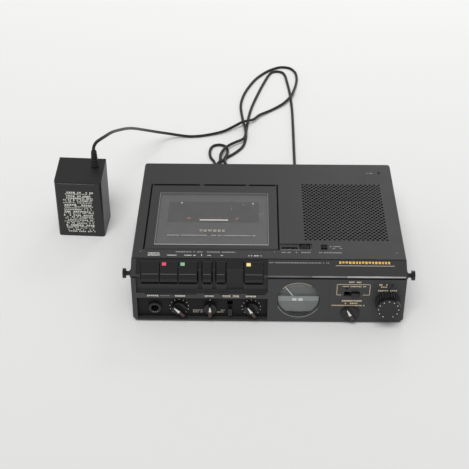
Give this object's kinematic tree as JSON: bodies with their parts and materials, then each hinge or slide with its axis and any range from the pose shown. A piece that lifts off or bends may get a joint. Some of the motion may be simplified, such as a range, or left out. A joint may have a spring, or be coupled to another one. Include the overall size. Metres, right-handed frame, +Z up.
{
  "type": "portable cassette recorder",
  "caption": "Flat portable cassette recorder with sprung piano keys, lidded cassette well, needle meter, grille and controls, on a lead to its mains adapter.",
  "frame": {"origin": "on the table under the middle of the recorder", "axes": "+X to the right of the recorder, +Y to its back, +Z up"},
  "size_m": [0.3185, 0.4821, 0.09],
  "materials": {
    "case_plastic": "fine matte texture, charcoal",
    "grille_plastic": "fine matte texture, charcoal",
    "key_plastic": "satin charcoal",
    "panel_black": "matte black",
    "knob_black": "satin black",
    "smoked_window": "smoked clear plastic",
    "clear_lens": "clear plastic",
    "meter_dial": "matte printed dial",
    "needle_white": "white paint",
    "marker_red": "moulded colour",
    "marker_green": "moulded colour",
    "marker_yellow": "moulded colour",
    "plated_steel": "zinc plated",
    "stud_black": "black",
    "socket_metal": "nickel plated",
    "speaker_paper": "black paper cone",
    "board_green": "solder resist",
    "rubber_black": "matte",
    "counter_black": "matte, with light figures",
    "spindle_plastic": "satin",
    "brass": "turned",
    "cord_rubber": "satin flexible sheath",
    "adapter_plastic": "fine matte texture, black",
    "transformer_iron": "varnished laminations"
  },
  "bodies": {
    "recorder": {"bottom_case": "case_plastic", "top_cover": "case_plastic", "front_bevel": "case_plastic", "front_panel": "case_plastic", "control_panel": "panel_black", "speaker_grille": "grille_plastic", "speaker": "speaker_paper", "deck_plate": "plated_steel", "main_board": "board_green", "feet": "rubber_black", "case_screws": "plated_steel", "strap_studs": "stud_black", "vu_housing": "panel_black", "vu_dial": "meter_dial", "vu_lens": "clear_lens", "jack_sockets": "socket_metal", "counter_housing": "panel_black", "key_axle": "plated_steel", "motor": "plated_steel", "drive_belt": "rubber_black", "power_cord": "cord_rubber", "dc_plug": "cord_rubber", "adapter_case": "adapter_plastic", "adapter_cover": "adapter_plastic", "adapter_transformer": "transformer_iron", "adapter_blades": "brass", "adapter_strain_relief": "cord_rubber"},
    "door": {"cassette_door": "case_plastic", "door_window": "smoked_window", "door_hinge_pin": "plated_steel"},
    "stop_key": {"stop_key": "key_plastic"},
    "record_key": {"record_key": "key_plastic", "record_marker": "marker_red"},
    "play_key": {"play_key": "key_plastic", "play_marker": "marker_green"},
    "rewind_key": {"rewind_key": "key_plastic"},
    "forward_key": {"forward_key": "key_plastic"},
    "pause_key": {"pause_key": "key_plastic", "pause_marker": "marker_yellow"},
    "vu_needle": {"vu_needle": "needle_white"},
    "level_knob": {"level_knob": "knob_black"},
    "tone_knob": {"tone_knob": "knob_black"},
    "pitch_knob": {"pitch_knob": "knob_black"},
    "record_mode_knob": {"record_mode_knob": "knob_black"},
    "record_level_knob": {"record_level_knob": "knob_black"},
    "record_level_ring": {"record_level_ring": "knob_black"},
    "monitor_switch": {"monitor_switch": "knob_black"},
    "speed_switch": {"speed_switch": "knob_black"},
    "memory_switch": {"memory_switch": "knob_black"},
    "counter_units": {"counter_units": "counter_black"},
    "counter_tens": {"counter_tens": "counter_black"},
    "counter_hundreds": {"counter_hundreds": "counter_black"},
    "counter_reset_button": {"counter_reset_button": "knob_black"},
    "supply_reel": {"supply_spindle": "spindle_plastic"},
    "takeup_reel": {"takeup_spindle": "spindle_plastic"},
    "flywheel": {"flywheel": "brass"},
    "motor_pulley": {"motor_pulley": "brass"},
    "head_slide": {"head_slide": "plated_steel"},
    "pinch_roller": {"pinch_roller": "rubber_black"},
    "battery_door": {"battery_door": "case_plastic"}
  },
  "joints": [
    {"name": "door_hinge", "type": "hinge", "parent": "recorder", "child": "door", "pos_m": [-0.0485, -0.0529, 0.0556], "axis": [1, 0, 0], "range_deg": [0, 45]},
    {"name": "stop_key_press", "type": "hinge", "parent": "recorder", "child": "stop_key", "pos_m": [-0.0989, -0.06, 0.044], "axis": [1, 0, 0], "range_deg": [0, 10], "stiffness_Nm_per_rad": 0.3, "springref_deg": -5.73},
    {"name": "record_key_press", "type": "hinge", "parent": "recorder", "child": "record_key", "pos_m": [-0.08325, -0.06, 0.044], "axis": [1, 0, 0], "range_deg": [0, 10], "stiffness_Nm_per_rad": 0.3, "springref_deg": -5.73},
    {"name": "play_key_press", "type": "hinge", "parent": "recorder", "child": "play_key", "pos_m": [-0.06745, -0.06, 0.044], "axis": [1, 0, 0], "range_deg": [0, 10], "stiffness_Nm_per_rad": 0.3, "springref_deg": -5.73},
    {"name": "rewind_key_press", "type": "hinge", "parent": "recorder", "child": "rewind_key", "pos_m": [-0.0514, -0.06, 0.044], "axis": [1, 0, 0], "range_deg": [0, 10], "stiffness_Nm_per_rad": 0.3, "springref_deg": -5.73},
    {"name": "forward_key_press", "type": "hinge", "parent": "recorder", "child": "forward_key", "pos_m": [-0.0398, -0.06, 0.044], "axis": [1, 0, 0], "range_deg": [0, 10], "stiffness_Nm_per_rad": 0.3, "springref_deg": -5.73},
    {"name": "pause_key_press", "type": "hinge", "parent": "recorder", "child": "pause_key", "pos_m": [-0.01235, -0.06, 0.044], "axis": [1, 0, 0], "range_deg": [0, 10], "stiffness_Nm_per_rad": 0.3, "springref_deg": -5.73},
    {"name": "vu_swing", "type": "hinge", "parent": "recorder", "child": "vu_needle", "pos_m": [0.0255, -0.0773, 0.0198], "axis": [0, 1, 0], "range_deg": [0, 69], "stiffness_Nm_per_rad": 0.00002, "springref_deg": -11.46},
    {"name": "level_turn", "type": "hinge", "parent": "recorder", "child": "level_knob", "pos_m": [-0.0756, -0.08, 0.0135], "axis": [0, 1, 0], "range_deg": [-87, 173]},
    {"name": "tone_turn", "type": "hinge", "parent": "recorder", "child": "tone_knob", "pos_m": [-0.0492, -0.08, 0.0135], "axis": [0, 1, 0], "range_deg": [-130, 130]},
    {"name": "pitch_turn", "type": "hinge", "parent": "recorder", "child": "pitch_knob", "pos_m": [-0.0142, -0.08, 0.0135], "axis": [0, 1, 0], "range_deg": [-99, 161]},
    {"name": "record_mode_turn", "type": "hinge", "parent": "recorder", "child": "record_mode_knob", "pos_m": [0.0696, -0.083, 0.0113], "axis": [0, 1, 0], "range_deg": [0, 56]},
    {"name": "record_level_turn", "type": "hinge", "parent": "recorder", "child": "record_level_knob", "pos_m": [0.1002, -0.09, 0.0247], "axis": [0, 1, 0], "range_deg": [-150, 150]},
    {"name": "record_ring_turn", "type": "hinge", "parent": "recorder", "child": "record_level_ring", "pos_m": [0.1002, -0.085, 0.0247], "axis": [0, 1, 0], "range_deg": [-150, 150]},
    {"name": "monitor_slide", "type": "slide", "parent": "recorder", "child": "monitor_switch", "axis": [0, 0, 1], "range_m": [0, 0.0065]},
    {"name": "speed_slide", "type": "slide", "parent": "recorder", "child": "speed_switch", "axis": [-1, 0, 0], "range_m": [0, 0.0054]},
    {"name": "memory_slide", "type": "slide", "parent": "recorder", "child": "memory_switch", "axis": [0, 1, 0], "range_m": [0, 0.0026]},
    {"name": "reset_press", "type": "slide", "parent": "recorder", "child": "counter_reset_button", "axis": [0, 0, -1], "range_m": [0, 0.002], "stiffness_N_per_m": 300, "springref_m": -0.001},
    {"name": "flywheel_spin", "type": "hinge", "parent": "recorder", "child": "flywheel", "pos_m": [-0.028, -0.022, 0.02], "axis": [0, 0, 1], "continuous": true},
    {"name": "motor_spin", "type": "hinge", "parent": "recorder", "child": "motor_pulley", "pos_m": [-0.084, -0.022, 0.02], "axis": [0, 0, 1], "continuous": true},
    {"name": "takeup_spin", "type": "hinge", "parent": "recorder", "child": "takeup_reel", "pos_m": [-0.02725, 0.002, 0.036], "axis": [0, 0, 1], "continuous": true},
    {"name": "supply_spin", "type": "hinge", "parent": "recorder", "child": "supply_reel", "pos_m": [-0.06975, 0.002, 0.036], "axis": [0, 0, 1], "continuous": true},
    {"name": "counter_units_spin", "type": "hinge", "parent": "recorder", "child": "counter_units", "pos_m": [0.0223, -0.0515, 0.0506], "axis": [1, 0, 0], "continuous": true},
    {"name": "counter_tens_spin", "type": "hinge", "parent": "recorder", "child": "counter_tens", "pos_m": [0.0178, -0.0515, 0.0506], "axis": [1, 0, 0], "continuous": true},
    {"name": "counter_hundreds_spin", "type": "hinge", "parent": "recorder", "child": "counter_hundreds", "pos_m": [0.0133, -0.0515, 0.0506], "axis": [1, 0, 0], "continuous": true},
    {"name": "head_slide_in", "type": "slide", "parent": "recorder", "child": "head_slide", "axis": [0, 1, 0], "range_m": [0, 0.005]},
    {"name": "pinch_spin", "type": "hinge", "parent": "head_slide", "child": "pinch_roller", "pos_m": [-0.028, -0.0345, 0.043], "axis": [0, 0, 1], "continuous": true},
    {"name": "battery_door_slide", "type": "slide", "parent": "recorder", "child": "battery_door", "axis": [0, 1, 0], "range_m": [0, 0.04]}
  ],
  "couplings": [
    {"joint": "motor_spin", "follows": "flywheel_spin", "ratio": 4.9778},
    {"joint": "takeup_spin", "follows": "flywheel_spin", "ratio": -0.7293},
    {"joint": "counter_units_spin", "follows": "flywheel_spin", "ratio": 0.05},
    {"joint": "counter_tens_spin", "follows": "flywheel_spin", "ratio": 0.005},
    {"joint": "counter_hundreds_spin", "follows": "flywheel_spin", "ratio": 0.0005},
    {"joint": "play_key_press", "follows": "head_slide_in", "rad_per_m": 34.9}
  ]
}
